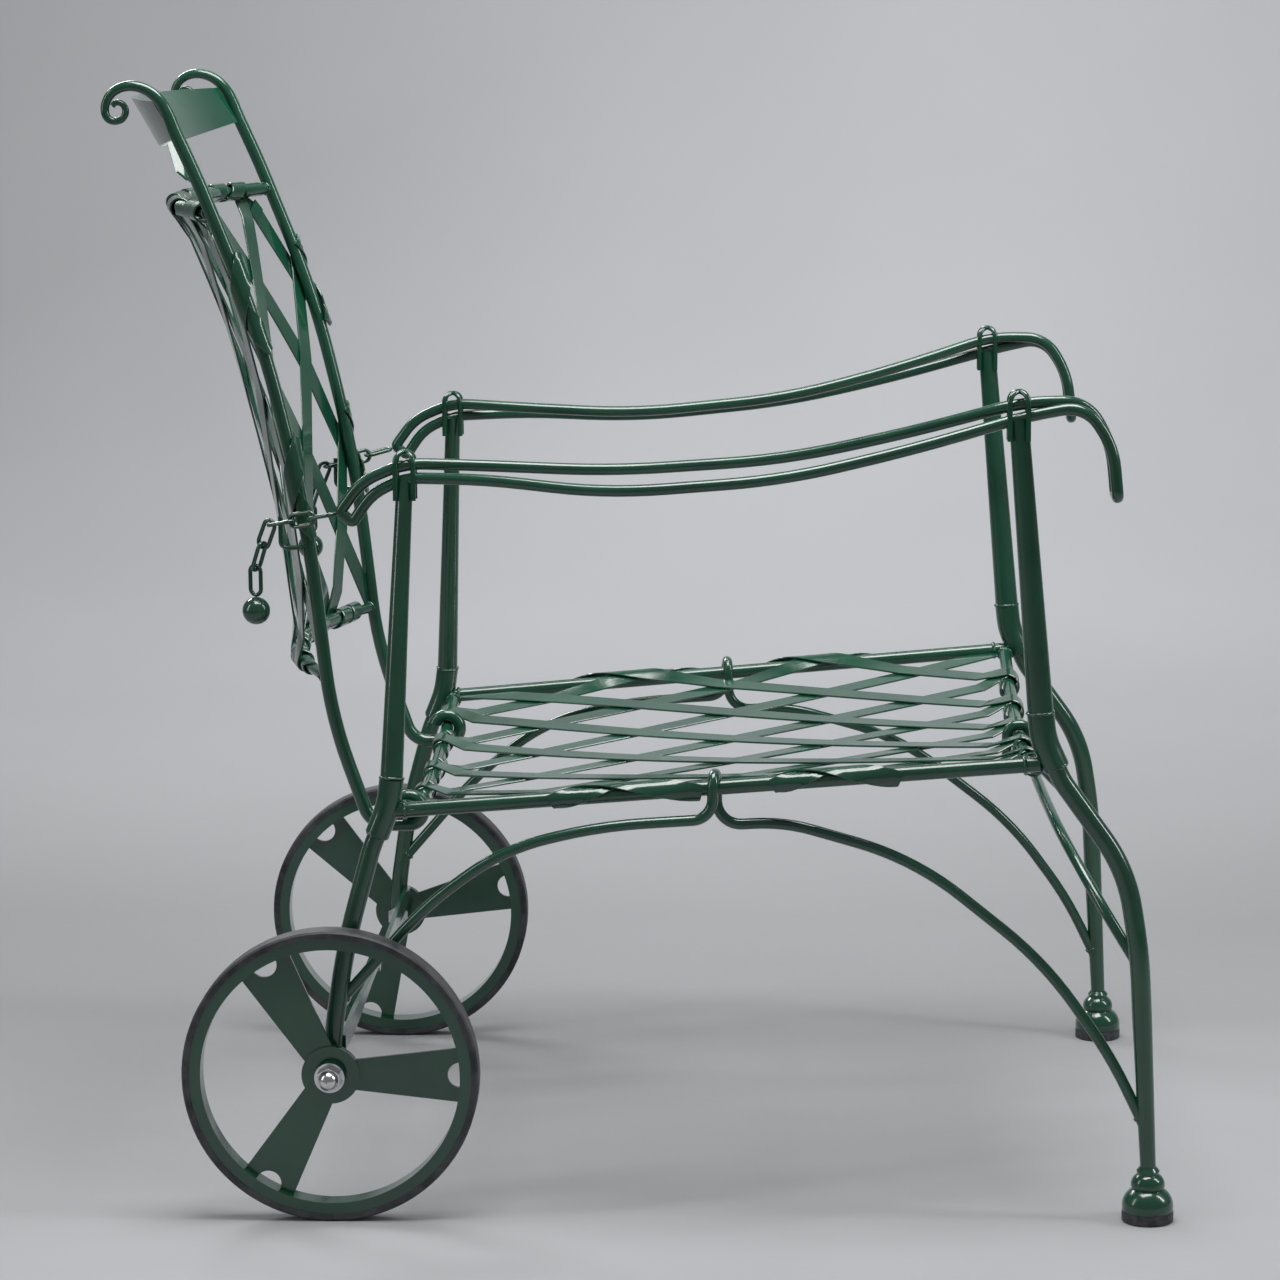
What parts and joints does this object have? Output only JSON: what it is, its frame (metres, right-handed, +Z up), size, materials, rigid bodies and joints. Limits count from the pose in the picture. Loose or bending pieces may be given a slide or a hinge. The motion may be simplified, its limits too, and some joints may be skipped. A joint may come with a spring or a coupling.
{
  "type": "garden armchair",
  "caption": "Wrought-metal garden armchair with strap-lattice seat and reclining back held by chains, curled arms, arched braces, bell feet at the front and rubber-tyred wheels at the rear.",
  "frame": {"origin": "on the floor under the middle of the bounding box", "axes": "+X the way the sitter faces, +Y the sitter's left, +Z up"},
  "size_m": [0.912, 0.6764, 0.9655],
  "materials": {
    "green_paint": "gloss",
    "tyre_rubber": "matte",
    "foot_rubber": "matte",
    "bright_hardware": "polished"
  },
  "bodies": {
    "frame": {"left_front_socket": "green_paint", "right_front_socket": "green_paint", "left_front_post": "green_paint", "right_front_post": "green_paint", "left_front_leg": "green_paint", "right_front_leg": "green_paint", "left_foot_bell": "green_paint", "right_foot_bell": "green_paint", "left_foot_pad": "foot_rubber", "right_foot_pad": "foot_rubber", "left_rear_socket": "green_paint", "right_rear_socket": "green_paint", "left_rear_post": "green_paint", "right_rear_post": "green_paint", "left_rear_leg": "green_paint", "right_rear_leg": "green_paint", "left_side_rail": "green_paint", "right_side_rail": "green_paint", "left_arm_lower_rod": "green_paint", "right_arm_lower_rod": "green_paint", "left_arm_upper_rod": "green_paint", "right_arm_upper_rod": "green_paint", "left_side_arch": "green_paint", "right_side_arch": "green_paint", "left_chain": "green_paint", "right_chain": "green_paint", "front_rail": "green_paint", "rear_rail": "green_paint", "front_arch": "green_paint", "axle_bar": "green_paint", "arm_clips": "green_paint", "axle_bolts": "bright_hardware", "axle_nuts": "bright_hardware", "axle_washers": "bright_hardware", "seat_straps_lower": "green_paint", "seat_straps_upper": "green_paint", "seat_strap_wraps": "green_paint"},
    "back": {"left_back_stile": "green_paint", "right_back_stile": "green_paint", "left_chain_caught_links": "green_paint", "right_chain_caught_links": "green_paint", "back_top_rail": "green_paint", "back_bottom_rail": "green_paint", "back_straps_rear": "green_paint", "back_straps_front": "green_paint", "back_strap_wraps": "green_paint", "crest_panel": "green_paint", "crest_shell": "green_paint", "chain_hooks": "green_paint"},
    "left_wheel": {"left_wheel_hub": "green_paint", "left_wheel_spokes": "green_paint", "left_wheel_rim": "green_paint", "left_wheel_tyre": "tyre_rubber"},
    "right_wheel": {"right_wheel_hub": "green_paint", "right_wheel_spokes": "green_paint", "right_wheel_rim": "green_paint", "right_wheel_tyre": "tyre_rubber"},
    "left_tail": {"left_chain_tail": "green_paint"},
    "right_tail": {"right_chain_tail": "green_paint"}
  },
  "joints": [
    {"name": "back_recline", "type": "hinge", "parent": "frame", "child": "back", "pos_m": [-0.203, 0, 0.33344], "axis": [0, -1, 0], "range_deg": [-11, 14], "deforming": ["left_chain", "right_chain"]},
    {"name": "left_wheel_spin", "type": "hinge", "parent": "frame", "child": "left_wheel", "pos_m": [-0.262, 0.3085, 0.127], "axis": [0, 1, 0], "continuous": true},
    {"name": "right_wheel_spin", "type": "hinge", "parent": "frame", "child": "right_wheel", "pos_m": [-0.262, -0.3085, 0.127], "axis": [0, 1, 0], "continuous": true},
    {"name": "left_chain_swing", "type": "hinge", "parent": "back", "child": "left_tail", "pos_m": [-0.33207, 0.19861, 0.546], "axis": [0.4843, -0.8749, 0], "range_deg": [-20, 20]},
    {"name": "right_chain_swing", "type": "hinge", "parent": "back", "child": "right_tail", "pos_m": [-0.33207, -0.19861, 0.546], "axis": [-0.4843, -0.8749, 0], "range_deg": [-20, 20]}
  ]
}
